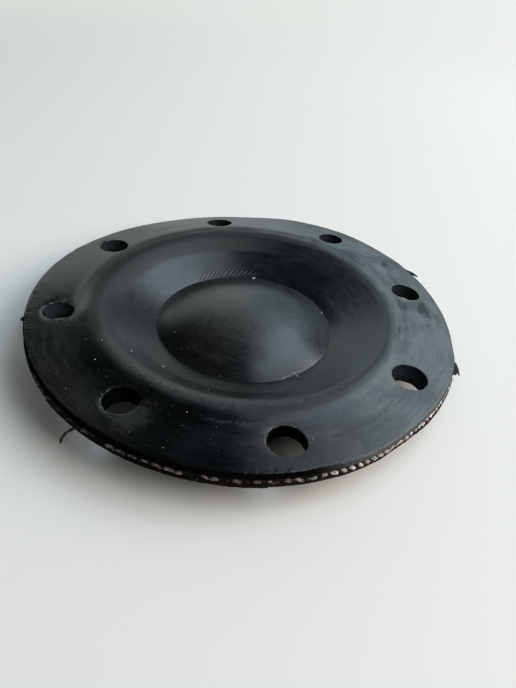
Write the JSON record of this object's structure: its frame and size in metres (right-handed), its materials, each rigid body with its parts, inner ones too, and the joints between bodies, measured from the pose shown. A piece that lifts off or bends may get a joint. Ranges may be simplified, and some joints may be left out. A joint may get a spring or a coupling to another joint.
{
  "type": "valve diaphragm",
  "caption": "Round moulded rubber diaphragm with a bolted flange, a dished wall and a domed centre, which seals and flexes between the two halves of a pneumatic valve.",
  "frame": {"origin": "centre of the bolt circle on the flange's upper face", "axes": "+Z along the diaphragm's axis, out of the dish; +X through the centre of one bolt hole"},
  "size_m": [0.1309, 0.13, 0.0126],
  "materials": {
    "rubber": "satin in the dish, matt and dusty on the flange"
  },
  "bodies": {
    "root": {"diaphragm": "rubber"}
  },
  "joints": []
}
